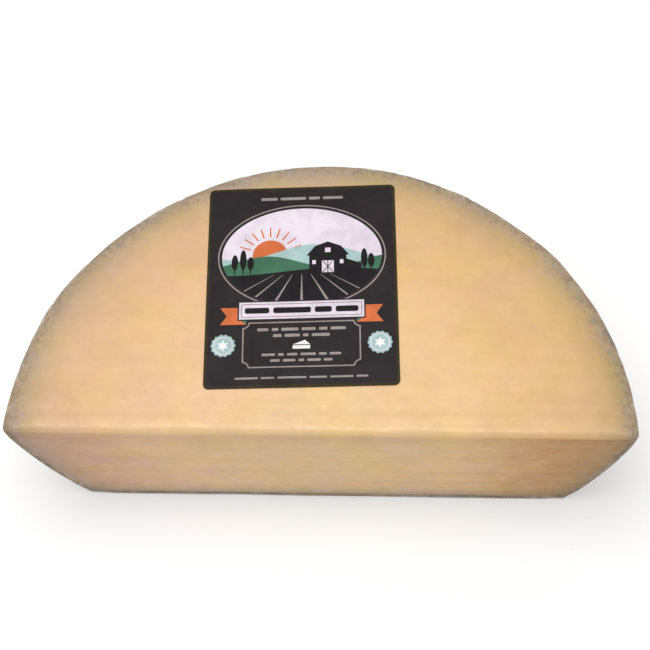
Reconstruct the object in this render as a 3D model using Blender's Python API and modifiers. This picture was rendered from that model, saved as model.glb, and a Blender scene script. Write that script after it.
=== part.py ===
"""Half a wheel of cheddar, lying on its smaller flat face, with a card label on the larger one.

Metres, +Z up. The origin is on the floor, under the middle of the half wheel. The flat cut runs
along X and faces -Y, and the round rim is at +Y. The rim is widest near the top face and draws in
towards the bottom.
"""

import math

import bmesh
import bpy

# Size of the wheel that the half was cut from
WHEEL_RADIUS = 0.162
THICKNESS = 0.0925

# Form of the rim: how far it draws in from top to bottom, and the share of that on a straight taper
RIM_DRAW_IN = 0.0281
RIM_TAPER_SHARE = 0.55

# The top face eases down towards the rim before its edge rounding; the bottom has a plain one
TOP_EASE_REACH = 0.0125
TOP_EASE_DROP = 0.0012
TOP_ROUNDING = 0.003
BOTTOM_ROUNDING = 0.007

# Swells and hollows that the mould and handling left in the rim: degrees round from +X, half width
# in degrees, and height in metres
RIM_BUMPS = (
    (42.0, 5.0, 0.0008),
    (52.0, 7.0, -0.0009),
    (80.0, 8.0, 0.0005),
    (117.0, 6.0, -0.0005),
    (151.0, 8.0, 0.0011),
    (168.0, 7.0, -0.0004),
)

# Rounding along the edges of the cut
CUT_ROUNDING = 0.0027
CUT_ROUNDING_SEGMENTS = 4

# Fineness of the turned rim
RIM_STEPS = 72
EASE_STEPS = 3
SIDE_STEPS = 9
ROUNDING_STEPS = 6

# Label: a thin card, nearly square to the cut, left of the middle and up to the rim
LABEL_WIDTH = 0.1016
LABEL_LENGTH = 0.1204
LABEL_THICKNESS = 0.0004
LABEL_GAP = 0.0003
LABEL_CORNER_RADIUS = 0.0045
LABEL_CORNER_SEGMENTS = 6
LABEL_CENTRE_FROM_AXIS = -0.0106
LABEL_CENTRE_FROM_CUT = 0.0862
LABEL_TURN = math.radians(2.1)

# Place of the cut, so that the half wheel is centred on the origin
CUT_Y = -WHEEL_RADIUS / 2

# Vertices closer than this to a plane lie on it
ON_PLANE = 1e-6

# Edges that turn more sharply than this are shaded as edges
SHARP_ANGLE = math.radians(35)

PASTE_COLOUR = (0.82, 0.55, 0.27, 1.0)
PASTE_ROUGHNESS = 0.45
LABEL_COLOUR = (0.045, 0.045, 0.045, 1.0)
LABEL_ROUGHNESS = 0.5


def clear_scene():
    for obj in list(bpy.data.objects):
        bpy.data.objects.remove(obj, do_unlink=True)


def new_collection(name):
    collection = bpy.data.collections.new(name)
    bpy.context.scene.collection.children.link(collection)
    return collection


def new_material(name, colour, roughness):
    material = bpy.data.materials.new(name)
    material.use_nodes = True
    shader = material.node_tree.nodes["Principled BSDF"]
    shader.inputs["Base Color"].default_value = colour
    shader.inputs["Roughness"].default_value = roughness
    shader.inputs["Metallic"].default_value = 0.0
    material.diffuse_color = colour
    return material


def drawn_in(share):
    """How far the side has drawn in at this share of the way from its widest ring to the bottom."""
    return RIM_DRAW_IN * (RIM_TAPER_SHARE * share + (1 - RIM_TAPER_SHARE) * share**2)


def quarter_round_inset(distance, rounding):
    """How far a quarter round cuts a corner back, at this distance along one of its sides."""
    if distance >= rounding:
        return 0.0
    return rounding - math.sqrt(rounding**2 - (rounding - distance) ** 2)


def top_of_profile():
    """Points (radius, height) of the eased top and of the edge rounding that runs on from it."""
    rounding_slope = 2 * TOP_EASE_DROP / TOP_EASE_REACH * (1 - TOP_ROUNDING / TOP_EASE_REACH)
    first_turn = math.atan(rounding_slope)
    edge_reach = TOP_ROUNDING * (1 - math.sin(first_turn))
    ease_length = TOP_EASE_REACH - edge_reach
    points = []
    for step in range(EASE_STEPS):
        from_rim = TOP_EASE_REACH - ease_length * step / EASE_STEPS
        drop = TOP_EASE_DROP * (1 - from_rim / TOP_EASE_REACH) ** 2
        points.append((WHEEL_RADIUS - from_rim, THICKNESS - drop))
    centre_radius = WHEEL_RADIUS - TOP_ROUNDING
    edge_height = THICKNESS - TOP_EASE_DROP * (1 - edge_reach / TOP_EASE_REACH) ** 2
    centre_height = edge_height - TOP_ROUNDING * math.cos(first_turn)
    for step in range(ROUNDING_STEPS + 1):
        turn = first_turn + (math.pi / 2 - first_turn) * step / ROUNDING_STEPS
        points.append(
            (centre_radius + TOP_ROUNDING * math.sin(turn), centre_height + TOP_ROUNDING * math.cos(turn))
        )
    return points


def side_of_profile(widest_height):
    """Points (radius, height) below the widest ring: the side, then the rounding of the bottom edge."""
    side_length = widest_height - BOTTOM_ROUNDING
    heights = [widest_height - side_length * step / SIDE_STEPS for step in range(1, SIDE_STEPS + 1)]
    turns = [math.pi / 2 * step / ROUNDING_STEPS for step in range(1, ROUNDING_STEPS + 1)]
    heights += [BOTTOM_ROUNDING * (1 - math.sin(turn)) for turn in turns]
    points = []
    for height in heights:
        radius = WHEEL_RADIUS - drawn_in(1 - height / widest_height)
        points.append((radius - quarter_round_inset(height, BOTTOM_ROUNDING), height))
    return points


def rim_profile():
    """The rim's profile from the top face down, as points (radius, height)."""
    top = top_of_profile()
    return top + side_of_profile(widest_height=top[-1][1])


def rim_bump(angle):
    """Height of the rim's swells and hollows at this angle round the wheel, in degrees."""
    return sum(height * math.exp(-(((angle - at) / half) ** 2)) for at, half, height in RIM_BUMPS)


def turned_rim(collection):
    """The rim alone: its profile at +X, running top to bottom, turned half way round by a Screw."""
    mesh = bpy.data.meshes.new("rim_profile")
    points = [(radius, 0.0, height) for radius, height in rim_profile()]
    mesh.from_pydata(points, [(i, i + 1) for i in range(len(points) - 1)], [])
    profile = bpy.data.objects.new("rim_profile", mesh)
    collection.objects.link(profile)
    screw = profile.modifiers.new("turn", "SCREW")
    screw.axis = "Z"
    screw.angle = math.pi
    screw.steps = RIM_STEPS
    screw.render_steps = RIM_STEPS
    screw.use_merge_vertices = False
    screw.merge_threshold = 0.0001
    evaluated = profile.evaluated_get(bpy.context.evaluated_depsgraph_get())
    turned = bpy.data.meshes.new_from_object(evaluated)
    bpy.data.objects.remove(profile)
    return turned


def push_bumps(bm):
    """Moves the rim in and out by its bumps, and sets its two ends exactly on the cut."""
    for vert in bm.verts:
        if abs(vert.co.y) < ON_PLANE:
            vert.co.y = 0.0
        radius = math.hypot(vert.co.x, vert.co.y)
        angle = math.degrees(math.atan2(vert.co.y, vert.co.x))
        grow = 1 + rim_bump(angle) / radius
        vert.co.x *= grow
        vert.co.y *= grow


def close_half_wheel(bm):
    """Adds the two chords and the three flat faces, and returns the edges all round the cut."""

    def on_top(verts):
        return all(abs(vert.co.z - THICKNESS) < ON_PLANE for vert in verts)

    def on_bottom(verts):
        return all(abs(vert.co.z) < ON_PLANE for vert in verts)

    def on_cut(verts):
        return all(abs(vert.co.y) < ON_PLANE for vert in verts)

    open_edges = [edge for edge in bm.edges if edge.is_boundary]
    top_chord = bm.edges.new([vert for vert in bm.verts if on_top([vert]) and on_cut([vert])])
    bottom_chord = bm.edges.new([vert for vert in bm.verts if on_bottom([vert]) and on_cut([vert])])
    rim_top = [edge for edge in open_edges if on_top(edge.verts)]
    rim_bottom = [edge for edge in open_edges if on_bottom(edge.verts)]
    cut_outline = [edge for edge in open_edges if on_cut(edge.verts)] + [top_chord, bottom_chord]
    bmesh.ops.contextual_create(bm, geom=rim_top + [top_chord])
    bmesh.ops.contextual_create(bm, geom=rim_bottom + [bottom_chord])
    bmesh.ops.contextual_create(bm, geom=cut_outline)
    bmesh.ops.recalc_face_normals(bm, faces=bm.faces)
    return cut_outline


def make_cheese(collection):
    mesh = turned_rim(collection)
    mesh.name = "cheese"
    bm = bmesh.new()
    bm.from_mesh(mesh)
    weight = bm.edges.layers.float.new("bevel_weight_edge")
    push_bumps(bm)
    for edge in close_half_wheel(bm):
        edge[weight] = 1.0
    bm.to_mesh(mesh)
    bm.free()
    cheese = bpy.data.objects.new("cheese", mesh)
    collection.objects.link(cheese)
    cheese.location.y = CUT_Y
    rounding = cheese.modifiers.new("cut_rounding", "BEVEL")
    rounding.limit_method = "WEIGHT"
    rounding.width = CUT_ROUNDING
    rounding.segments = CUT_ROUNDING_SEGMENTS
    rounding.use_clamp_overlap = False
    mesh.shade_smooth()
    mesh.set_sharp_from_angle(angle=SHARP_ANGLE)
    mesh.materials.append(new_material("cheddar_paste", PASTE_COLOUR, PASTE_ROUGHNESS))
    return cheese


def make_label(collection):
    """A thin flat card with round corners, lying just clear of the top face."""
    mesh = bpy.data.meshes.new("label")
    bm = bmesh.new()
    bmesh.ops.create_grid(bm, x_segments=1, y_segments=1, size=0.5)
    bmesh.ops.scale(bm, vec=(LABEL_WIDTH, LABEL_LENGTH, 1.0), verts=bm.verts)
    bmesh.ops.bevel(
        bm,
        geom=bm.verts,
        offset=LABEL_CORNER_RADIUS,
        segments=LABEL_CORNER_SEGMENTS,
        affect="VERTICES",
        profile=0.5,
    )
    bm.to_mesh(mesh)
    bm.free()
    label = bpy.data.objects.new("label", mesh)
    collection.objects.link(label)
    label.location = (LABEL_CENTRE_FROM_AXIS, CUT_Y + LABEL_CENTRE_FROM_CUT, THICKNESS + LABEL_GAP)
    label.rotation_euler.z = LABEL_TURN
    card = label.modifiers.new("card", "SOLIDIFY")
    card.thickness = LABEL_THICKNESS
    card.offset = 1.0
    mesh.materials.append(new_material("label_card", LABEL_COLOUR, LABEL_ROUGHNESS))
    return label


def main():
    clear_scene()
    collection = new_collection("cheddar")
    holder = bpy.data.objects.new("half_wheel", None)
    collection.objects.link(holder)
    for piece in (make_cheese(collection), make_label(collection)):
        piece.parent = holder


main()
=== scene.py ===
# Half a wheel of cheddar with a printed card on top: fine surfaces, finishes, light and camera.
# Metres, +Z up. The cut runs along X and faces -Y, and the round rim is at +Y.

import math

import bmesh
import bpy
import numpy as np
from mathutils import Matrix, Vector, noise
from mathutils.geometry import delaunay_2d_cdt


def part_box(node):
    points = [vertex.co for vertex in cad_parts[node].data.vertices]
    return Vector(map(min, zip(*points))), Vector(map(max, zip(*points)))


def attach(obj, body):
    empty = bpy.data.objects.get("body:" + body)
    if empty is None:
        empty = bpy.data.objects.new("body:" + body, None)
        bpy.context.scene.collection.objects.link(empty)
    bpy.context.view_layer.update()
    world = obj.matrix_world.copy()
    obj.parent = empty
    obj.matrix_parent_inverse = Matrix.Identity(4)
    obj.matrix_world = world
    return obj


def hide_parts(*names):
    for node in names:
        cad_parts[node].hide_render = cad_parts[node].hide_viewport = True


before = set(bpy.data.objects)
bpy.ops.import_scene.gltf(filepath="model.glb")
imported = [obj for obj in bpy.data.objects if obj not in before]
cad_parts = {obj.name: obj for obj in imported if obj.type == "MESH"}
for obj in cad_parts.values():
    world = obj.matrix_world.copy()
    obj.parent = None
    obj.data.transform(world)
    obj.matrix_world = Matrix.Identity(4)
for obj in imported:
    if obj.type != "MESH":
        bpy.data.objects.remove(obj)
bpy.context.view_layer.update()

MM = 0.001

# Thickness of the cheese and place of its cut, from the frame
CHEESE_LOW, CHEESE_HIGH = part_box("cheese")
THICKNESS = CHEESE_HIGH.z
CUT_Y = CHEESE_LOW.y

# Form of the wheel, as in the solid: the rim draws in downwards, and the top eases down at the rim
WHEEL_RADIUS = 0.162
RIM_DRAW_IN = 0.0281
RIM_TAPER_SHARE = 0.55
TOP_EASE_REACH = 0.0125
TOP_EASE_DROP = 0.0012

# Swells and hollows of the rim, as in the solid: degrees round from +X, half width in degrees, height
RIM_BUMPS = (
    (42.0, 5.0, 0.0008),
    (52.0, 7.0, -0.0009),
    (80.0, 8.0, 0.0005),
    (117.0, 6.0, -0.0005),
    (151.0, 8.0, 0.0011),
    (168.0, 7.0, -0.0004),
)

# The bumps fade inwards with this power of the distance from the wheel's axis
BUMP_FADE = 6

# Edge roundings of the top and the bottom face, round the rim and along the cut
RIM_TOP_ROUNDING = 0.003
RIM_BOTTOM_ROUNDING = 0.007
RIM_BOTTOM_ROUNDING_AT_TIP = 0.004
CUT_TOP_ROUNDING = 0.0043
CUT_BOTTOM_ROUNDING = 0.0025

# Wear of the cut's upper edge: the share by which its rounding varies, and the length of one dent
CUT_EDGE_WEAR = 0.20
CUT_EDGE_WEAR_LENGTH = 0.027

# Upright edges at the two tips: their rounding at the top, half way down and at the bottom, and how
# far from the top and the bottom it changes
TIP_TOP_ROUNDING = 0.0042
TIP_SIDE_ROUNDING = 0.0029
TIP_BOTTOM_ROUNDING = 0.0050
TIP_TOP_REACH = 0.014
TIP_BOTTOM_REACH = 0.016

# Length from a tip over which the other rounded edges change from their radius there to their own
TIP_BLEND = 0.016

# Fineness of the cheese's mesh: steps round its outline and down its side, and the spacing of the
# vertices inside its top and bottom face
TIP_STEPS = 8
RIM_STEPS = 392
CUT_STEPS = 248
ROUNDING_STEPS = 6
SIDE_STEPS = 64
TOP_STEP = 1.45 * MM
BOTTOM_STEP = 3.0 * MM

# Those vertices stay at least this share of their spacing inside the face's border on the rim
CLEAR_OF_BORDER = 0.75

# Vertices closer than this are made one
WELD = 0.02 * MM

# Points this close are taken for one where an outline is filled: in metres for a face of the
# cheese, and in millimetres for the print
FACE_TOLERANCE = 1e-7
PRINT_TOLERANCE = 0.01

# The setting of Blender's filling that keeps only the triangles inside the outlines
ONLY_INSIDE = 1

# A surface starts to face a direction at the first value of its normal's part along it, and fully
# faces it at the second
FACING = (0.5, 0.95)
ON_CUT_FACING = (0.84, 0.999)

# Kinds of relief: size of a feature along x, y and z, the shift that sets its pattern apart, and
# how many octaves of noise it has
WAVES = ((0.06, 0.06, 0.06), 3.1, 1)
SWELLS = ((0.022, 0.022, 0.022), 7.7, 1)
CURD = ((0.0055, 0.0055, 0.0055), 1.3, 2)
CUT_DRAG = ((0.12, 0.01, 0.005), 5.9, 3)
TOP_DRAG = ((0.10, 0.005, 0.01), 9.2, 3)
PITS = ((0.0042, 0.0042, 0.0042), 2.4, 2)

# The same for relief that runs round the rim: size of a feature round the rim, outwards and upwards
WRINKLES = ((0.0065, 0.011, 0.018), 6.3, 2)
FOLDS = ((0.011, 0.02, 0.05), 4.4, 2)

# Values of its noise at which a pit starts, and at which it has its full depth
PIT_EDGES = (0.28, 0.6)

# Heights of the relief
WAVE_HEIGHT = 0.25 * MM
SWELL_HEIGHT = 0.14 * MM
CURD_HEIGHT = 0.045 * MM
CUT_DRAG_HEIGHT = 0.09 * MM
TOP_DRAG_HEIGHT = 0.07 * MM
TOP_WRINKLE_HEIGHT = 0.17 * MM
RIM_WRINKLE_HEIGHT = 0.15 * MM
TOP_FOLD_HEIGHT = 0.10 * MM
RIM_FOLD_HEIGHT = 0.20 * MM
TOP_PIT_DEPTH = 0.08 * MM
RIM_PIT_DEPTH = 0.28 * MM
BOTTOM_PIT_DEPTH = 0.12 * MM

# Where the relief changes: the knife's drag on the top face fades with the distance from the cut,
# and the rind's relief reaches from the rim a little way onto the top face
DRAG_FULL_TO = 0.004
DRAG_FADED_AT = 0.034
RIND_RELIEF_FULL_TO = 0.001
RIND_RELIEF_GONE_AT = 0.014

# Label: size, place and turn as in the solid, with tighter corners and a thinner card
LABEL_WIDTH = 0.1016
LABEL_LENGTH = 0.1204
LABEL_CORNER_RADIUS = 0.0029
LABEL_CENTRE = Vector((-0.0106, CUT_Y + 0.0862))
LABEL_TURN = math.radians(2.1)
LABEL_THICKNESS = 0.0003

# How the label lies: its mean height above the smooth face, and the length and height of its waves
LABEL_CLEAR = 0.00025
LABEL_WAVE_LENGTH = 0.03
LABEL_WAVE_HEIGHT = 0.25 * MM

# Camera, fitted to the photograph's outline and label: place, turns, focal length in pixels of the
# image, and the sensor's width in millimetres
CAMERA_PLACE = Vector((0.0482, -0.3492, 0.7546))
CAMERA_PAN = math.radians(-7.861)
CAMERA_TILT_DOWN = math.radians(63.279)
CAMERA_ROLL = math.radians(-6.656)
IMAGE_SIZE = 650
FOCAL_PIXELS = 1415.1
SENSOR = 36.0

# Floor, which glows a little so that it stays nearly white, and light
FLOOR_HALF_WIDTH = 6.0
FLOOR_COLOUR = (0.6, 0.6, 0.6, 1.0)
FLOOR_ROUGHNESS = 0.8
FLOOR_GLOW = 0.4
SOFTBOX_PLACE = Vector((-0.15, 0.05, 1.6))
SOFTBOX_TARGET = Vector((0.0, 0.0, 0.05))
SOFTBOX_DIAMETER = 1.1
SOFTBOX_POWER = 16.5
STUDIO_STRENGTH = 0.5
WHITE_LIGHT = (1.0, 1.0, 1.0, 1.0)


def smooth_step(low, high, value):
    share = np.clip((value - low) / (high - low), 0.0, 1.0)
    return share * share * (3 - 2 * share)


def add_to_scene(name, data):
    """Makes an object of a mesh, a light or a camera."""
    piece = bpy.data.objects.new(name, data)
    bpy.context.scene.collection.objects.link(piece)
    return piece


# Form of the cheese


def drawn_in(share):
    """How far the side has drawn in at this share of the way from the top to the bottom."""
    return RIM_DRAW_IN * (RIM_TAPER_SHARE * share + (1 - RIM_TAPER_SHARE) * share**2)


def rim_radius_at(height):
    """Radius of the rim without its bumps at this height: it draws in below its widest ring."""
    widest = THICKNESS - RIM_TOP_ROUNDING
    return WHEEL_RADIUS - drawn_in(np.clip(1 - height / widest, 0, 1))


def rim_bump(angle):
    """Height of the rim's swells and hollows at this angle round the wheel, in degrees."""
    return sum(height * np.exp(-(((angle - at) / half) ** 2)) for at, half, height in RIM_BUMPS)


def top_drop(radius):
    """How far the top face has eased down at this distance from the wheel's axis."""
    from_rim = np.clip(WHEEL_RADIUS - radius, 0, TOP_EASE_REACH)
    return TOP_EASE_DROP * (1 - from_rim / TOP_EASE_REACH) ** 2


def rim_field(places):
    """Distance from the axis and angle in degrees round it, seen from above."""
    radius = np.hypot(places[:, 0], places[:, 1])
    return radius, np.degrees(np.arctan2(places[:, 1], places[:, 0]))


def tip_rounding(height):
    """Radius of the upright edges at this height: rounder at both ends than in between."""
    to_top = smooth_step(TIP_TOP_REACH, 0.0, THICKNESS - height)
    to_bottom = smooth_step(TIP_BOTTOM_REACH, 0.0, height)
    return (
        TIP_SIDE_ROUNDING
        + (TIP_TOP_ROUNDING - TIP_SIDE_ROUNDING) * to_top
        + (TIP_BOTTOM_ROUNDING - TIP_SIDE_ROUNDING) * to_bottom
    )


def outline(rounding):
    """Points round the half disc seen from above, with outward normals: tip, rim, tip, cut.

    rounding is the radius at the tips. The number of points doesn't depend on it.
    """
    centre_turn = math.asin(rounding / (WHEEL_RADIUS - rounding))
    tip_x = (WHEEL_RADIUS - rounding) * math.cos(centre_turn)
    quarter = math.pi / 2
    tip = np.arange(TIP_STEPS) / TIP_STEPS
    along_rim = np.arange(RIM_STEPS) / RIM_STEPS
    along_cut = np.arange(CUT_STEPS) / CUT_STEPS
    turns = (
        -quarter + (quarter + centre_turn) * tip,
        centre_turn + (math.pi - 2 * centre_turn) * along_rim,
        math.pi - centre_turn + (quarter + centre_turn) * tip,
        np.full(CUT_STEPS, -quarter),
    )
    centres_x = (tip_x, 0.0, -tip_x, tip_x * (2 * along_cut - 1))
    centres_y = (rounding, 0.0, rounding, 0.0)
    reaches = (rounding, WHEEL_RADIUS, rounding, 0.0)
    points, normals = [], []
    for turn, x, y, reach in zip(turns, centres_x, centres_y, reaches):
        normals.append(np.column_stack((np.cos(turn), np.sin(turn))))
        points.append(np.column_stack((x + reach * np.cos(turn), y + reach * np.sin(turn))))
    return np.concatenate(points), np.concatenate(normals)


def edge_radius(of_rim, of_tip, of_cut):
    """Radius of a rounded edge at each point of the outline, blended into its radius at the tips."""

    def side(steps, length, of_side):
        share = np.arange(steps) / steps
        from_tip = np.minimum(share, 1 - share) * length
        return of_tip + (of_side - of_tip) * smooth_step(0.0, TIP_BLEND, from_tip)

    at_tip = np.full(TIP_STEPS, of_tip)
    round_rim = side(RIM_STEPS, math.pi * WHEEL_RADIUS, of_rim)
    along_cut = side(CUT_STEPS, 2 * WHEEL_RADIUS, of_cut)
    return np.concatenate((at_tip, round_rim, at_tip, along_cut))


def worn_rounding():
    """Rounding of the cut's upper edge at each point along it, unevenly worn."""
    along = outline(0.0)[0][-CUT_STEPS:, 0] / CUT_EDGE_WEAR_LENGTH
    wear = np.array([noise.noise(Vector((x, 0.5, 0.5))) for x in along])
    return CUT_TOP_ROUNDING * (1 + CUT_EDGE_WEAR * wear)


def rings():
    """Rings of points from the top face's border down the side to the bottom face's border."""
    top = edge_radius(RIM_TOP_ROUNDING, RIM_TOP_ROUNDING, worn_rounding())
    bottom = edge_radius(RIM_BOTTOM_ROUNDING, RIM_BOTTOM_ROUNDING_AT_TIP, CUT_BOTTOM_ROUNDING)
    levels = []
    for step in range(ROUNDING_STEPS):
        turn = math.pi / 2 * step / ROUNDING_STEPS
        levels.append((top * (1 - math.sin(turn)), THICKNESS - top * (1 - math.cos(turn))))
    for step in range(SIDE_STEPS + 1):
        share = step / SIDE_STEPS
        levels.append((np.zeros_like(top), (THICKNESS - top) * (1 - share) + bottom * share))
    for step in range(1, ROUNDING_STEPS + 1):
        turn = math.pi / 2 * step / ROUNDING_STEPS
        levels.append((bottom * (1 - math.cos(turn)), bottom * (1 - math.sin(turn))))
    made = []
    for inset, height in levels:
        points, normals = outline(float(tip_rounding(height[0])))
        made.append(np.column_stack((points - normals * inset[:, None], height)))
    return made


def add_side(bm, ring_points):
    """Joins each ring to the next one with faces."""
    rows = [[bm.verts.new(point) for point in ring] for ring in ring_points]
    for upper, lower in zip(rows, rows[1:]):
        for i in range(len(upper)):
            bm.faces.new((upper[i - 1], lower[i - 1], lower[i], upper[i]))


def filled(points, outlines, tolerance):
    """Fills outlines with triangles: vertices, faces, and the numbers of the outlines round each face."""
    verts, _, faces, _, _, sources = delaunay_2d_cdt(points, [], outlines, ONLY_INSIDE, tolerance, True)
    return verts, faces, sources


def add_face(bm, border, height, spacing):
    """Fills a flat face inside a border ring with evenly sized triangles."""
    low, high = border.min(axis=0), border.max(axis=0)
    front = border[-CUT_STEPS:, 1].max()
    rim_radii, rim_angles = rim_field(border[TIP_STEPS : TIP_STEPS + RIM_STEPS])
    row_height = spacing * math.sqrt(3) / 2
    across = np.arange(low[0], high[0], spacing)
    inner = []
    for row in range(1, int((high[1] - front) / row_height)):
        shifted = across + 0.5 * spacing * (row % 2)
        places = np.column_stack((shifted, np.full_like(across, front + row * row_height)))
        radii, angles = rim_field(places)
        kept = radii < np.interp(angles, rim_angles, rim_radii) - CLEAR_OF_BORDER * spacing
        inner += [Vector(place) for place in places[kept]]
    flat = [Vector(point[:2]) for point in border] + inner
    verts, faces, sources = filled(flat, [list(range(len(border)))], FACE_TOLERANCE)
    made = [bm.verts.new((vert.x, vert.y, height)) for vert in verts]
    for face, inside_of in zip(faces, sources):
        if inside_of:
            bm.faces.new([made[i] for i in face])


def shape_like_solid(places):
    """Draws the side in towards the bottom, eases the top down at the rim and adds the bumps."""
    radius, angle = rim_field(places)
    grow = rim_radius_at(places[:, 2]) / WHEEL_RADIUS
    grow += rim_bump(angle) / WHEEL_RADIUS * (radius / WHEEL_RADIUS) ** BUMP_FADE
    shaped = places.copy()
    shaped[:, 0] *= grow
    shaped[:, 1] *= grow
    shaped[:, 2] -= top_drop(radius) * places[:, 2] / THICKNESS
    return shaped


def noise_at(places, scale, shift, octaves):
    """Smooth noise about -1 to 1 at each place. scale is the size of a feature along x, y and z.

    Each octave after the first is half as large and half as strong as the one before.
    """
    stretched = places / np.array(scale) + shift
    if octaves == 1:
        return np.array([noise.noise(Vector(place)) for place in stretched])
    return np.array([noise.fractal(Vector(place), 1.0, 2.0, octaves) for place in stretched])


def relief(places, normals):
    """Height of the fine relief at each vertex, in metres."""
    radius, angle = rim_field(places)
    up = smooth_step(*FACING, normals[:, 2])
    down = smooth_step(*FACING, -normals[:, 2])
    cut = smooth_step(*FACING, -normals[:, 1])
    rim = np.clip(1 - up - down - cut, 0, 1)
    from_rim = rim_radius_at(places[:, 2]) - radius
    round_rim = np.column_stack((np.radians(angle) * WHEEL_RADIUS, radius, places[:, 2]))

    height = noise_at(places, *WAVES) * WAVE_HEIGHT * (0.5 + 0.5 * up)
    height += noise_at(places, *SWELLS) * SWELL_HEIGHT * (1 - 0.5 * rim)
    height += noise_at(places, *CURD) * CURD_HEIGHT * (1 - down)

    by_the_cut = smooth_step(DRAG_FADED_AT, DRAG_FULL_TO, places[:, 1])
    height += noise_at(places, *CUT_DRAG) * CUT_DRAG_HEIGHT * cut
    height += noise_at(places, *TOP_DRAG) * TOP_DRAG_HEIGHT * up * (0.25 + 0.75 * by_the_cut)

    near_rim = smooth_step(RIND_RELIEF_GONE_AT, RIND_RELIEF_FULL_TO, from_rim) * up
    wrinkle_height = TOP_WRINKLE_HEIGHT * near_rim + RIM_WRINKLE_HEIGHT * rim
    fold_height = TOP_FOLD_HEIGHT * near_rim + RIM_FOLD_HEIGHT * rim
    pit_depth = TOP_PIT_DEPTH * near_rim + RIM_PIT_DEPTH * rim + BOTTOM_PIT_DEPTH * down
    height += noise_at(round_rim, *WRINKLES) * wrinkle_height
    height += noise_at(round_rim, *FOLDS) * fold_height
    return height - smooth_step(*PIT_EDGES, noise_at(places, *PITS)) * pit_depth


def vertex_rows(mesh, kind):
    """The place or the normal of each vertex, one row for each."""
    values = np.zeros(len(mesh.vertices) * 3)
    mesh.vertices.foreach_get(kind, values)
    return values.reshape(-1, 3)


def make_cheese():
    ring_points = rings()
    bm = bmesh.new()
    add_side(bm, ring_points)
    add_face(bm, ring_points[0], THICKNESS, TOP_STEP)
    add_face(bm, ring_points[-1], 0.0, BOTTOM_STEP)
    bmesh.ops.remove_doubles(bm, verts=bm.verts, dist=WELD)
    bmesh.ops.recalc_face_normals(bm, faces=bm.faces)
    mesh = bpy.data.meshes.new("cheddar")
    bm.to_mesh(mesh)
    bm.free()

    places = shape_like_solid(vertex_rows(mesh, "co"))
    mesh.vertices.foreach_set("co", places.ravel())
    mesh.update()
    normals = vertex_rows(mesh, "normal")
    radius, angle = rim_field(places)
    depth = rim_radius_at(places[:, 2]) + rim_bump(angle) - radius
    places += normals * relief(places, normals)[:, None]
    places[:, 2] = np.clip(places[:, 2], 0.0, None)
    places[:, 1] += CUT_Y
    mesh.vertices.foreach_set("co", places.ravel())
    mesh.shade_smooth()

    fields = {"from_rim": depth / MM, "on_cut": smooth_step(*ON_CUT_FACING, -normals[:, 1])}
    for name, values in fields.items():
        field = mesh.attributes.new(name, "FLOAT", "POINT")
        field.data.foreach_set("value", values.astype(np.float32))
    return add_to_scene("cheddar", mesh)


# Materials


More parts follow.
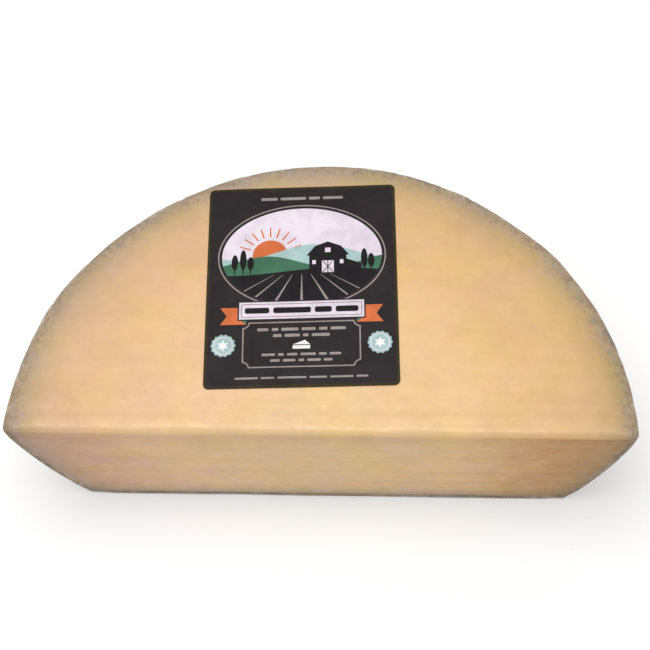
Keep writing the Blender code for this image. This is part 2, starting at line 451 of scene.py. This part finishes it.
class Nodes:
    """A short way to write a material's nodes."""

    def __init__(self, name):
        self.material = bpy.data.materials.new(name)
        self.material.use_nodes = True
        self.tree = self.material.node_tree
        self.shader = self.tree.nodes["Principled BSDF"]

    def add(self, kind, settings=None, **inputs):
        node = self.tree.nodes.new(kind)
        for key, value in (settings or {}).items():
            setattr(node, key, value)
        for key, value in inputs.items():
            self.set(node.inputs[key], value)
        return node

    def set(self, socket, value):
        if isinstance(value, bpy.types.NodeSocket):
            self.tree.links.new(value, socket)
        else:
            socket.default_value = value

    def finish(self, **inputs):
        """Sets the shader's own inputs."""
        for key, value in inputs.items():
            self.set(self.shader.inputs[key.replace("_", " ")], value)

    def field(self, name):
        """A number kept at each vertex of the mesh."""
        return self.add("ShaderNodeAttribute", {"attribute_name": name}).outputs["Fac"]

    def noise(self, place, scale, detail, roughness=0.5):
        """Noise from 0 to 1. scale is about the number of features in a metre of place."""
        node = self.add("ShaderNodeTexNoise", Vector=place, Scale=scale, Detail=detail, Roughness=roughness)
        return node.outputs["Fac"]

    def centred_noise(self, place, scale, detail, roughness=0.5):
        """Noise from -0.5 to 0.5."""
        return self.math("SUBTRACT", self.noise(place, scale, detail, roughness), 0.5)

    def stretched(self, scale, turn=0.0):
        place = self.add("ShaderNodeTexCoord").outputs["Object"]
        node = self.add("ShaderNodeMapping", Vector=place, Scale=scale, Rotation=(0, 0, turn))
        return node.outputs["Vector"]

    def warped(self, place, scale, reach):
        """The place moved by up to about reach, so that a pattern's lines run crooked."""
        node = self.add("ShaderNodeTexNoise", Vector=place, Scale=scale, Detail=2.0)
        shift = self.add("ShaderNodeVectorMath", {"operation": "MULTIPLY_ADD"})
        self.set(shift.inputs[0], node.outputs["Color"])
        self.set(shift.inputs[1], (reach, reach, reach))
        self.set(shift.inputs[2], place)
        return shift.outputs["Vector"]

    def ramp(self, value, low, high, to_low=0.0, to_high=1.0):
        """A smooth step from to_low to to_high as the value goes from low to high."""
        node = self.add("ShaderNodeMapRange", {"interpolation_type": "SMOOTHSTEP"}, Value=value)
        for key, number in (("From Min", low), ("From Max", high), ("To Min", to_low), ("To Max", to_high)):
            self.set(node.inputs[key], number)
        return node.outputs["Result"]

    def math(self, operation, first, second):
        node = self.add("ShaderNodeMath", {"operation": operation})
        self.set(node.inputs[0], first)
        self.set(node.inputs[1], second)
        return node.outputs[0]

    def times(self, first, second):
        return self.math("MULTIPLY", first, second)

    def plus(self, first, second):
        return self.math("ADD", first, second)

    def mix(self, share, first, second, blend="MIX"):
        node = self.add("ShaderNodeMix", {"data_type": "RGBA", "blend_type": blend})
        self.set(node.inputs["Factor"], share)
        self.set(node.inputs[6], first)
        self.set(node.inputs[7], second)
        return node.outputs[2]

    def tinted(self, share, paint, tint):
        """The colour multiplied by a tint, by the given share."""
        return self.mix(share, paint, tint, "MULTIPLY")

    def blend(self, share, first, second):
        """A number between two numbers."""
        node = self.add("ShaderNodeMix", {"data_type": "FLOAT"})
        self.set(node.inputs["Factor"], share)
        self.set(node.inputs[2], first)
        self.set(node.inputs[3], second)
        return node.outputs[0]

    def tones(self, place, stops):
        """A run of colours, each at its share of the last stop's place."""
        node = self.add("ShaderNodeValToRGB", Fac=place)
        elements = node.color_ramp.elements
        last = stops[-1][0]
        elements[0].position, elements[0].color = stops[0][0] / last, stops[0][1]
        elements[1].position, elements[1].color = 1.0, stops[-1][1]
        for at, tone in stops[1:-1]:
            elements.new(at / last).color = tone
        return node.outputs["Color"]

    def bump(self, height, strength, distance):
        node = self.add("ShaderNodeBump", Strength=strength, Distance=distance, Height=height)
        self.finish(Normal=node.outputs["Normal"])


def colour(red, green, blue):
    """A colour given as it shows on screen, 0 to 255, turned into linear light."""
    parts = [part / 255 for part in (red, green, blue)]
    return tuple(p / 12.92 if p <= 0.04045 else ((p + 0.055) / 1.055) ** 2.4 for p in parts) + (1.0,)


# Tones from the rind inwards: how many millimetres deep, and the colour there. Their darkening towards the
# rind is partly the paste's own drier tone and partly painted shade, where the light falls off towards the
# rim
TONES_AND_RIM_SHADE = (
    (0.0, colour(155, 142, 125)),
    (4.0, colour(172, 156, 136)),
    (8.0, colour(183, 159, 131)),
    (14.0, colour(198, 167, 129)),
    (24.0, colour(213, 176, 131)),
    (50.0, colour(224, 184, 136)),
    (85.0, colour(229, 191, 143)),
    (130.0, colour(228, 193, 143)),
)

# Tints that multiply the colour of the paste, on all of it
ROSY = (1.0, 0.97, 0.995, 1.0)
STRAW = (1.0, 0.975, 0.87, 1.0)
YELLOWER = (1.0, 1.01, 0.85, 1.0)
PINKER = (1.0, 0.97, 1.01, 1.0)
DUSKY = (0.90, 0.90, 0.91, 1.0)
CURD_LINE = (0.93, 0.91, 0.88, 1.0)

# Tints of the cut: its patches, its left and right end, painted shade below its upper edge, its upper edge
# paler partly from wear and partly as a painted highlight, and its foot darker partly as drier paste and
# partly as painted shade near the floor
PATCH = (0.99, 0.985, 0.89, 1.0)
PATCH_ROSY = (0.98, 0.96, 1.05, 1.0)
ROSY_END = (0.90, 0.78, 0.80, 1.0)
BROWN_END = (0.76, 0.57, 0.21, 1.0)
PAINTED_SHADE_BELOW_EDGE = (0.93, 0.915, 0.87, 1.0)
PALE_EDGE_AND_HIGHLIGHT = (1.03, 1.07, 1.16, 1.0)
FOOT_DRY_AND_SHADED = (0.64, 0.73, 0.88, 1.0)

# Tints of the paste near the rind: the band inside it, painted shade that greys it on its far side, and its
# blots and specks
TAN = (1.02, 0.985, 0.84, 1.0)
FAR_SHADE = (0.93, 0.99, 1.08, 1.0)
BLOT = (0.77, 0.735, 0.71, 1.0)
SPECKLE = (0.75, 0.69, 0.67, 1.0)

# Colours of the rind, and its tints where its upper edge is rubbed and low down
RIND = colour(116, 98, 80)
RIND_PALE = colour(156, 136, 109)
RIND_WARM = colour(150, 118, 84)
RIND_BLOOM = colour(198, 188, 172)
RIND_DARK = colour(82, 68, 55)
RUBBED = (1.33, 1.47, 1.64, 1.0)
RIND_FOOT = (1.02, 1.13, 1.25, 1.0)


class Spot:
    """Where a point lies on the cheese, as values that its colours share.

    y is in metres, and heights and depths in millimetres. side runs from -1 at the left tip to 1 at
    the right one.
    """

    def __init__(self, n):
        self.even = n.stretched((1, 1, 1))
        place = n.add("ShaderNodeSeparateXYZ", Vector=self.even)
        self.y = place.outputs["Y"]
        self.height = n.math("DIVIDE", place.outputs["Z"], MM)
        self.side = n.math("DIVIDE", place.outputs["X"], WHEEL_RADIUS)
        self.from_rim = n.field("from_rim")
        self.on_cut = n.field("on_cut")
        self.uneven = n.centred_noise(self.even, 75, 4)
        self.ragged = n.times(n.centred_noise(self.even, 230, 4, 0.62), 6.5)
        self.depth = n.plus(self.from_rim, n.plus(n.times(self.uneven, 5.0), self.ragged))
        self.drifting_side = n.plus(self.side, n.times(n.centred_noise(self.even, 11, 2), 2.4))


def paste_tone(n, spot):
    """The paste's tone: paler inwards, partly its own tone and partly painted shade towards the rim, rosier
    to the left, yellower to the right, and cloudy.
    """
    # The tones darken towards the rim partly as painted shade
    paste = n.tones(n.math("DIVIDE", spot.depth, TONES_AND_RIM_SHADE[-1][0]), TONES_AND_RIM_SHADE)
    hue = n.ramp(spot.drifting_side, -0.9, 0.9)
    yellow = n.ramp(n.noise(n.stretched((1, 1.3, 1.2), 0.6), 42, 3), 0.38, 0.64)
    pink = n.ramp(n.noise(n.stretched((1, 1.2, 1), 2.0), 58, 3), 0.38, 0.64)
    dusk = n.ramp(n.noise(n.stretched((1, 1, 1), 1.2), 34, 4), 0.4, 0.7)
    cloud = n.ramp(n.noise(n.stretched((1, 1.4, 1), 0.3), 85, 3), 0.4, 0.65)
    paste = n.tinted(1.0, paste, n.mix(hue, ROSY, STRAW))
    paste = n.tinted(yellow, paste, YELLOWER)
    paste = n.tinted(pink, paste, PINKER)
    paste = n.tinted(n.times(dusk, 0.6), paste, DUSKY)
    return n.tinted(n.times(cloud, 0.35), paste, DUSKY)


def with_curd_and_streaks(n, spot, paste):
    """Adds the faint joins of the curd, and the knife's streaks, which are strongest by the cut."""
    bent = n.warped(spot.even, 60, 9 * MM)
    curd = n.add("ShaderNodeTexVoronoi", {"feature": "DISTANCE_TO_EDGE"}, Vector=bent, Scale=85)
    join = n.ramp(curd.outputs["Distance"], 0.0, 0.09, 1.0, 0.0)
    shown = n.times(join, n.ramp(spot.uneven, -0.1, 0.2))
    paste = n.tinted(n.times(shown, 0.5), paste, CURD_LINE)
    streaks = n.ramp(n.noise(n.stretched((5, 150, 190)), 1.0, 4, 0.6), 0.42, 0.72)
    near_cut = n.ramp(spot.y, CUT_Y + 4 * MM, CUT_Y + 45 * MM, 0.68, 0.14)
    return n.tinted(n.times(streaks, near_cut), paste, DUSKY)


def with_cut_tints(n, spot, paste):
    """Adds what the cut shows: patches, a rosy left end, a brown right end, painted shade below the upper
    edge, a paler upper edge that is partly wear and partly a painted highlight, and a darker foot that is
    partly drier paste and partly painted shade.
    """
    patches = n.ramp(n.noise(n.stretched((1, 1, 1.6), 0.4), 40, 4), 0.42, 0.58)
    paste = n.tinted(spot.on_cut, paste, n.mix(patches, PATCH_ROSY, PATCH))
    wander = n.plus(spot.side, n.times(spot.uneven, 0.35))
    paste = n.tinted(n.times(n.ramp(wander, 0.42, 0.84), spot.on_cut), paste, BROWN_END)
    paste = n.tinted(n.times(n.ramp(wander, -0.5, -0.88), spot.on_cut), paste, ROSY_END)
    # Painted shade: the cut darkens below its upper edge
    paste = n.tinted(n.times(n.ramp(spot.height, 72.0, 86.0), spot.on_cut), paste, PAINTED_SHADE_BELOW_EDGE)
    # The upper edge's rounding is paler: partly wear, partly a painted highlight
    worn_edge_and_highlight = n.ramp(spot.y, CUT_Y + 2 * MM, CUT_Y + 5 * MM, 1.0, 0.0)
    paste = n.tinted(n.times(n.ramp(spot.height, 86.0, 90.0), worn_edge_and_highlight), paste, PALE_EDGE_AND_HIGHLIGHT)
    # The cut's foot darkens: partly drier paste over the bottom rind, partly painted shade near the floor
    low = n.ramp(n.plus(spot.height, n.times(spot.uneven, 6.0)), 6.0, 20.0, 1.0, 0.0)
    return n.tinted(low, paste, FOOT_DRY_AND_SHADED)


def with_rim_zone(n, spot, paste):
    """Adds the tan and ochre band inside the rind, painted shade that greys the band on the far side, and
    blots and specks at the rind itself.
    """
    band = n.math("MINIMUM", n.ramp(spot.depth, 9.0, 26.0, 1.0, 0.0), n.ramp(spot.depth, 2.0, 10.0))
    tan = n.times(n.ramp(spot.drifting_side, -0.2, 1.0), band)
    paste = n.tinted(n.math("SUBTRACT", tan, spot.on_cut), paste, TAN)
    ochre = n.ramp(n.noise(spot.even, 120, 3), 0.42, 0.62)
    paste = n.tinted(n.times(ochre, n.times(band, 0.6)), paste, YELLOWER)
    # Painted shade: the band greys on the far side of the top, away from the cut
    far = n.ramp(spot.y, CUT_Y + 140 * MM, CUT_Y + 156 * MM)
    paste = n.tinted(n.times(far, band), paste, FAR_SHADE)
    blots = n.ramp(n.noise(spot.even, 260, 4, 0.7), 0.47, 0.62)
    paste = n.tinted(n.times(blots, n.ramp(spot.depth, 2.5, 10.0, 1.0, 0.0)), paste, BLOT)
    speckle = n.ramp(n.noise(spot.even, 380, 3, 0.6), 0.48, 0.6)
    speckle = n.times(speckle, n.ramp(spot.depth, 3.0, 11.0, 1.0, 0.0))
    return n.tinted(n.times(speckle, n.blend(spot.on_cut, 0.5, 1.0)), paste, SPECKLE)


def rind_colour(n, spot):
    """The dry rind: grey-brown with paler wear, a dusty bloom, pale flecks and dark specks."""
    mottle = n.ramp(n.noise(spot.even, 65, 6, 0.66), 0.36, 0.68)
    warm = n.ramp(n.noise(n.stretched((1, 1, 1.6), 0.9), 24, 4, 0.6), 0.4, 0.66)
    bloom = n.ramp(n.noise(spot.even, 150, 5, 0.7), 0.52, 0.66)
    flecks = n.ramp(n.noise(spot.even, 620, 2), 0.62, 0.70)
    specks = n.ramp(n.noise(spot.even, 430, 3, 0.6), 0.56, 0.68)
    rind = n.mix(mottle, RIND, RIND_PALE)
    rind = n.mix(n.times(warm, 0.5), rind, RIND_WARM)
    rind = n.mix(n.times(bloom, 0.35), rind, RIND_BLOOM)
    at_tips = n.ramp(n.math("ABSOLUTE", spot.side, 0.0), 0.80, 0.97, 0.3, 0.8)
    below_edge = n.times(at_tips, n.ramp(spot.height, 82.0, 88.0, 1.0, 0.1))
    off_foot = n.times(below_edge, n.ramp(spot.height, 3.0, 12.0, 0.15, 1.0))
    rind = n.mix(n.times(flecks, off_foot), rind, RIND_BLOOM)
    rind = n.mix(n.times(specks, 0.55), rind, RIND_DARK)
    rind = n.tinted(n.ramp(spot.height, 86.0, 91.0), rind, RUBBED)
    return n.tinted(n.ramp(spot.height, 4.0, 10.0, 1.0, 0.0), rind, RIND_FOOT)


def rind_share(n, spot):
    """1 on the rind and 0 on the paste, with a ragged border: round the rim and over the bottom."""
    width = n.ramp(spot.y, CUT_Y + 0.5 * MM, CUT_Y + 5 * MM, 2.3, 1.4)
    edge = n.plus(n.times(spot.ragged, 0.8), n.times(spot.uneven, 4.0))
    inwards = n.math("DIVIDE", n.plus(spot.from_rim, edge), width)
    upwards = n.math("DIVIDE", n.plus(spot.height, n.times(spot.ragged, 0.3)), 3.3)
    return n.ramp(n.math("MINIMUM", inwards, upwards), 1.6, 2.4, 1.0, 0.0)


def cheese_material():
    n = Nodes("cheddar_paste_and_rind")
    spot = Spot(n)
    paste = paste_tone(n, spot)
    for add_look in (with_curd_and_streaks, with_cut_tints, with_rim_zone):
        paste = add_look(n, spot, paste)
    at_rind = rind_share(n, spot)
    sheen = n.ramp(n.noise(spot.even, 240, 3), 0.3, 0.7, 0.33, 0.46)
    n.finish(
        Base_Color=n.mix(at_rind, paste, rind_colour(n, spot)),
        Roughness=n.blend(at_rind, sheen, 0.62),
        Subsurface_Weight=0.08,
        Subsurface_Radius=(1.0, 0.7, 0.45),
        Subsurface_Scale=0.003,
    )
    grain = n.noise(spot.even, 800, 4, 0.6)
    crumb = n.noise(spot.even, 320, 3, 0.6)
    n.bump(n.blend(at_rind, grain, n.times(crumb, 2.5)), 0.3, 0.15 * MM)
    return n.material


# Label print: flat shapes laid one over another, in millimetres from the card's middle

CHARCOAL = "charcoal"
OLIVE = "olive"
PALE = "pale"
GREY = "grey"
TEAL = "teal"
GREEN = "green"
ORANGE = "orange"
WHITE = "white"
BLACK = "black"

INKS = {
    CHARCOAL: colour(37, 30, 32),
    OLIVE: colour(51, 44, 21),
    PALE: colour(222, 211, 221),
    GREY: colour(150, 141, 140),
    TEAL: colour(163, 190, 188),
    GREEN: colour(64, 108, 84),
    ORANGE: colour(208, 108, 62),
    WHITE: colour(236, 234, 230),
    BLACK: colour(20, 16, 19),
}

# Longest step between the points of the print, so that the card can follow the face below it
PRINT_STEP = 3.0

# Corners of a box, anticlockwise from the lower right
CORNERS = ((1, -1), (1, 1), (-1, 1), (-1, -1))

# Width of the olive line that shows round the charcoal ground
CARD_BORDER = 1.5


class Print:
    """The shapes of the print in the order they are laid down, each with its ink."""

    def __init__(self):
        self.shapes = []

    def paint(self, ink, points, inside=None):
        """Lays down a shape, only where shape number inside is, and returns its number."""
        ends = points[1:] + points[:1]
        if sum(a[0] * b[1] - b[0] * a[1] for a, b in zip(points, ends)) < 0:
            points = points[::-1]
            ends = points[1:] + points[:1]
        fine = []
        for start, end in zip(points, ends):
            steps = max(1, math.ceil(math.dist(start, end) / PRINT_STEP))
            fine += [tuple(a + (b - a) * i / steps for a, b in zip(start, end)) for i in range(steps)]
        self.shapes.append((ink, fine, inside))
        return len(self.shapes) - 1

    def shown_ink(self, found):
        """The ink of the uppermost shape that shows, out of the numbers of all shapes at a place."""
        shown = [i for i in found if self.shapes[i][2] is None or self.shapes[i][2] in found]
        return self.shapes[max(shown)][0]


def ellipse(x, y, wide, high, steps):
    """Points round an ellipse. wide and high are measured from its centre."""
    turns = [2 * math.pi * i / steps for i in range(steps)]
    return [(x + wide * math.cos(turn), y + high * math.sin(turn)) for turn in turns]


def disc(x, y, radius, steps):
    return ellipse(x, y, radius, radius, steps)


def arc(x, y, radius, start, sweep, steps):
    """Points along part of a circle, with both its ends."""
    turns = [start + sweep * i / (steps - 1) for i in range(steps)]
    return [(x + radius * math.cos(turn), y + radius * math.sin(turn)) for turn in turns]


def bar(x, y, width, height):
    """A rectangle about a centre."""
    return [(x + sx * width / 2, y + sy * height / 2) for sx, sy in ((-1, -1), (1, -1), (1, 1), (-1, 1))]


def round_bar(x, y, width, height, radius, corner_steps):
    """A rectangle about a centre, with round corners."""
    points = []
    for i, (sx, sy) in enumerate(CORNERS):
        centre_x = x + sx * (width / 2 - radius)
        centre_y = y + sy * (height / 2 - radius)
        points += arc(centre_x, centre_y, radius, (i - 1) * math.pi / 2, math.pi / 2, corner_steps)
    return points


def star(x, y, reaches):
    """A star, as points at even turns from its top, each at its own reach."""
    points = []
    for i, reach in enumerate(reaches):
        turn = math.pi / 2 + 2 * math.pi * i / len(reaches)
        points.append((x + reach * math.cos(turn), y + reach * math.sin(turn)))
    return points


def rosette(art, x, y, radius):
    """A scalloped disc with a ring and a small star in it."""
    scallops = 14
    steps = scallops * 6
    edge = []
    for i in range(steps):
        turn = 2 * math.pi * i / steps
        reach = radius * (0.95 + 0.05 * math.cos(scallops * turn))
        edge.append((x + reach * math.cos(turn), y + reach * math.sin(turn)))
    art.paint(TEAL, edge)
    art.paint(PALE, disc(x, y, radius * 0.78, 40))
    art.paint(TEAL, disc(x, y, radius * 0.70, 40))
    art.paint(WHITE, star(x, y, (radius * 0.5, radius * 0.24) * 6))


def word_bars(art, ink, y, height, widths, gap=1.6):
    """A centred line of plain bars, one for each width."""
    x = -(sum(widths) + gap * (len(widths) - 1)) / 2
    for width in widths:
        art.paint(ink, round_bar(x + width / 2, y, width, height, height * 0.3, 3))
        x += width + gap


def notched_frame(art, x, y, width, height):
    """An outlined panel whose corners are cut in by quarter circles."""
    line, notch = 0.7, 3.2
    for ink, inset in ((GREY, 0.0), (CHARCOAL, line)):
        radius = notch + inset
        trim = math.asin(inset / radius)
        points = []
        for i, (sx, sy) in enumerate(CORNERS):
            start = math.pi / 2 * (2 + i) - trim
            sweep = 2 * trim - math.pi / 2
            points += arc(x + sx * width / 2, y + sy * height / 2, radius, start, sweep, 9)
        art.paint(ink, points)


def draw_sun(art, window, x, y):
    """A sun with a fan of nine rays."""
    near, far = 11.5, 17.5
    wide = math.radians(2.2)
    corners = ((near, -wide), (far, -wide * 0.5), (far, wide * 0.5), (near, wide))
    for i in range(9):
        turn = math.radians(20 + 17.5 * i)
        ray = []
        for reach, shift in corners:
            ray.append((x + reach * math.cos(turn + shift), y + reach * math.sin(turn + shift)))
        art.paint(ORANGE, ray, window)
    art.paint(ORANGE, disc(x, y, 9.5, 48), window)


def draw_hill(art, ink, window, middle, swell, length, shift):
    """A hill across the window: the height of its middle, its swell, and the swell's length and shift."""
    left, right, bottom = -46, 46, -16
    steps = 40
    points = [(left, bottom)]
    for i in range(steps + 1):
        x = left + (right - left) * i / steps
        points.append((x, middle + swell * math.sin(x / length + shift)))
    art.paint(ink, [*points, (right, bottom)], window)


def draw_furrow(art, window, x_far, x_near):
    """A furrow of the field, wider towards the viewer."""
    far, near = 5.6, -14
    ends = [(x_far - 0.15, far), (x_near - 0.9, near), (x_near + 0.9, near), (x_far + 0.15, far)]
    art.paint(GREY, ends, window)


def draw_poplar(art, window, x, y, height):
    art.paint(BLACK, bar(x, y + 1.5, 0.7, 4.0), window)
    art.paint(BLACK, ellipse(x, y + 2.0 + height / 2, 1.75, height / 2, 28), window)


def draw_barn(art, window):
    """A barn with a gambrel roof, a lean-to, a braced door and three windows."""
    left, right, base = 4.0, 24.0, 6.5
    middle = (left + right) / 2
    eaves = base + 10.5
    art.paint(BLACK, [(left, base), (right, base), (right, eaves), (left, eaves)], window)
    roof = [
        (left - 1.5, eaves),
        (right + 1.5, eaves),
        (right - 3.0, eaves + 5.6),
        (middle, eaves + 8.4),
        (left + 3.0, eaves + 5.6),
    ]
    art.paint(BLACK, roof, window)
    lean_to = [(right, base), (right + 8.0, base), (right + 8.0, base + 5.0), (right, base + 8.0)]
    art.paint(BLACK, lean_to, window)
    art.paint(PALE, bar(middle, base + 3.6, 6.4, 7.2), window)
    art.paint(BLACK, bar(middle, base + 3.4, 0.5, 7.6), window)
    for way in (-1, 1):
        brace = [
            (middle - way * 3.0, base + 0.2),
            (middle - way * 2.4, base + 0.2),
            (middle + way * 3.0, base + 7.0),
            (middle + way * 2.4, base + 7.0),
        ]
        art.paint(BLACK, brace, window)
    art.paint(PALE, bar(middle, eaves + 3.2, 3.0, 2.8), window)
    for x in (left + 2.6, right - 2.6):
        art.paint(PALE, bar(x, base + 6.4, 1.9, 2.4), window)


def draw_window(art):
    """A wide oval with a farm scene: sun, hills, trees and a barn on a dark field."""
    x, y, wide, high = 0.0, 17.0, 43.0, 29.5
    art.paint(GREY, ellipse(x, y, wide + 2.2, high + 2.2, 96))
    art.paint(CHARCOAL, ellipse(x, y, wide + 1.5, high + 1.5, 96))
    window = art.paint(PALE, ellipse(x, y, wide, high, 96))
    draw_sun(art, window, -17, 17.5)
    draw_hill(art, TEAL, window, 19.5, 4.5, 13, 1.0)
    draw_hill(art, GREEN, window, 13.5, 3.6, 11, 3.3)
    draw_hill(art, BLACK, window, 7.5, 1.8, 17, 0.6)
    for i in range(7):
        draw_furrow(art, window, -15 + 5 * i, -48 + 16 * i)
    draw_barn(art, window)
    for x_tree, height in ((-36, 9.5), (-31.5, 12.5), (-27.5, 8.0), (33.5, 11.5), (37.2, 8.5)):
        draw_poplar(art, window, x_tree, 7.0, height)


def draw_banner(art):
    """A straight ribbon across the foot of the oval, with folded tails that hang a little lower."""
    y, half, height = -15.5, 33.0, 10.0
    foot, drop = y - height / 2, 3.0
    for side in (-1, 1):
        inner, outer = side * (half - 4), side * (half + 10)
        tail = [
            (inner, foot - drop),
            (outer, foot - drop),
            (side * (half + 6.5), y - drop),
            (outer, y + height / 2 - drop),
            (inner, y + height / 2 - drop),
        ]
        art.paint(ORANGE, tail)
        art.paint(GREEN, [(inner, foot - drop), (side * half, foot), (inner, foot)])
    for ink, grow in ((CHARCOAL, 1.6), (PALE, 0.0), (GREY, -2.0), (PALE, -3.0)):
        art.paint(ink, bar(0, y, 2 * half + grow, height + grow))
    word_bars(art, BLACK, y, 3.4, (13.0, 20.0, 9.0, 12.0), 2.0)


def draw_wedge(art, x, y, size):
    """A small wedge of cheese seen from the side, with a thin dark line between side and top."""
    left, right = x - size, x + size * 0.9
    side_top, top_foot = y + size * 0.42, y + size * 0.52
    art.paint(WHITE, [(left, y), (right, y), (right, side_top), (left, side_top)])
    art.paint(WHITE, [(left, top_foot), (right, top_foot), (x + size * 0.35, y + size * 1.05)])


def label_print():
    """All that is printed on the card, from its ground up."""
    art = Print()
    width, length, corner = LABEL_WIDTH / MM, LABEL_LENGTH / MM, LABEL_CORNER_RADIUS / MM
    inner_width, inner_length, inner_corner = width - 2 * CARD_BORDER, length - 2 * CARD_BORDER, 1.9
    card = art.paint(OLIVE, round_bar(0, 0, width, length, corner, 8))
    art.paint(CHARCOAL, round_bar(0, 0, inner_width, inner_length, inner_corner, 8), card)
    word_bars(art, GREY, 53.0, 1.7, (9.0, 14.0, 6.0, 11.0))
    draw_window(art)
    draw_banner(art)
    panel_y = -35.6
    notched_frame(art, 0.0, panel_y, 62.0, 26.5)
    word_bars(art, GREY, -26.8, 1.7, (6.0, 3.5, 9.0, 7.5, 4.5, 8.0))
    word_bars(art, GREY, -30.4, 1.7, (4.5, 8.0, 3.0, 9.5))
    draw_wedge(art, 0.25, -38.3, 4.8)
    word_bars(art, GREY, -41.4, 1.4, (7.0, 3.0, 5.5, 8.0, 4.0, 6.0))
    word_bars(art, GREY, -44.8, 1.4, (5.0, 6.5, 3.0, 7.0, 4.5))
    for side in (-1, 1):
        rosette(art, side * 41.0, panel_y, 6.6)
    word_bars(art, GREY, -54.6, 1.1, (12.0, 7.0, 15.0, 9.0, 12.0, 6.0))
    return art


def label_material(name, ink):
    """Coated card in one ink, a little cloudy and with a fine fibre."""
    n = Nodes("label_" + name)
    even = n.stretched((1, 1, 1))
    cloud = n.ramp(n.noise(even, 90, 4, 0.6), 0.3, 0.7)
    fibre = n.noise(even, 1400, 3, 0.7)
    pale = tuple(min(1.0, part * 1.1 + 0.003) for part in ink[:3]) + (1.0,)
    deep = tuple(part * 0.9 for part in ink[:3]) + (1.0,)
    n.finish(
        Base_Color=n.mix(cloud, deep, pale),
        Roughness=n.ramp(fibre, 0.3, 0.7, 0.42, 0.56),
        Specular_IOR_Level=0.13,
    )
    n.bump(fibre, 0.15, 0.05 * MM)
    return n.material


def print_points(art):
    """The points of all shapes and of a grid over the card, and each shape as a list of numbers."""
    flat, outlines = [], []
    for _, points, _ in art.shapes:
        outlines.append(list(range(len(flat), len(flat) + len(points))))
        flat += [Vector(point) for point in points]
    columns = int(LABEL_WIDTH / MM / PRINT_STEP)
    rows = int(LABEL_LENGTH / MM / PRINT_STEP)
    for row in range(rows):
        for column in range(columns):
            x = (column + 0.5 - columns / 2) * PRINT_STEP
            y = (row + 0.5 - rows / 2) * PRINT_STEP
            flat.append(Vector((x, y)))
    return flat, outlines


def on_top_face(point):
    """The place on the top face of a point of the print, given in millimetres."""
    place = LABEL_CENTRE + Matrix.Rotation(LABEL_TURN, 2) @ (point * MM)
    height = THICKNESS - top_drop(math.hypot(place.x, place.y - CUT_Y)) + LABEL_CLEAR
    wave = noise.noise(Vector((place.x, place.y, 0.0)) / LABEL_WAVE_LENGTH) * LABEL_WAVE_HEIGHT
    return place.x, place.y, height + wave


def make_label():
    art = label_print()
    flat, outlines = print_points(art)
    verts, faces, sources = filled(flat, outlines, PRINT_TOLERANCE)
    mesh = bpy.data.meshes.new("label_card")
    mesh.from_pydata([on_top_face(vert) for vert in verts], [], faces)
    names = list(INKS)
    for name in names:
        mesh.materials.append(label_material(name, INKS[name]))
    for polygon, found in zip(mesh.polygons, sources):
        polygon.material_index = names.index(art.shown_ink(found))
    bm = bmesh.new()
    bm.from_mesh(mesh)
    bmesh.ops.dissolve_degenerate(bm, edges=bm.edges, dist=WELD)
    bmesh.ops.triangulate(bm, faces=bm.faces)
    bm.to_mesh(mesh)
    bm.free()
    label = add_to_scene("label_card", mesh)
    card = label.modifiers.new("card", "SOLIDIFY")
    card.thickness = LABEL_THICKNESS
    card.offset = 1.0
    return label


# Floor, light and camera


def make_floor():
    bm = bmesh.new()
    bmesh.ops.create_grid(bm, x_segments=2, y_segments=2, size=FLOOR_HALF_WIDTH)
    mesh = bpy.data.meshes.new("floor")
    bm.to_mesh(mesh)
    bm.free()
    n = Nodes("pale_floor")
    n.finish(
        Base_Color=FLOOR_COLOUR,
        Roughness=FLOOR_ROUGHNESS,
        Emission_Color=WHITE_LIGHT,
        Emission_Strength=FLOOR_GLOW,
    )
    mesh.materials.append(n.material)
    add_to_scene("floor", mesh)


def make_light():
    """A large soft disc overhead in an evenly white studio."""
    light = bpy.data.lights.new("softbox", "AREA")
    light.shape = "DISK"
    light.size = SOFTBOX_DIAMETER
    light.energy = SOFTBOX_POWER
    softbox = add_to_scene("softbox", light)
    softbox.location = SOFTBOX_PLACE
    softbox.rotation_euler = (SOFTBOX_TARGET - SOFTBOX_PLACE).to_track_quat("-Z", "Y").to_euler()
    world = bpy.data.worlds.new("studio")
    world.use_nodes = True
    background = world.node_tree.nodes["Background"]
    background.inputs["Color"].default_value = WHITE_LIGHT
    background.inputs["Strength"].default_value = STUDIO_STRENGTH
    bpy.context.scene.world = world
    bpy.context.scene.view_settings.view_transform = "Standard"


def make_camera():
    """Turns the camera by its pan, tilt and roll, and sets its lens from the focal length in pixels."""
    pan, tilt = CAMERA_PAN, CAMERA_TILT_DOWN
    forward = Vector((math.sin(pan) * math.cos(tilt), math.cos(pan) * math.cos(tilt), -math.sin(tilt)))
    level_right = forward.cross(Vector((0, 0, 1))).normalized()
    level_up = level_right.cross(forward)
    right = math.cos(CAMERA_ROLL) * level_right + math.sin(CAMERA_ROLL) * level_up
    up = -math.sin(CAMERA_ROLL) * level_right + math.cos(CAMERA_ROLL) * level_up
    data = bpy.data.cameras.new("camera")
    data.sensor_width = SENSOR
    data.lens = SENSOR * FOCAL_PIXELS / IMAGE_SIZE
    camera = add_to_scene("camera", data)
    turned = Matrix((right, up, -forward)).transposed().to_4x4()
    camera.matrix_world = Matrix.Translation(CAMERA_PLACE) @ turned
    bpy.context.scene.camera = camera


cheese = make_cheese()
cheese.data.materials.append(cheese_material())
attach(cheese, "root")
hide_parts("cheese")

label = make_label()
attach(label, "root")
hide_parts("label")

make_floor()
make_light()
make_camera()
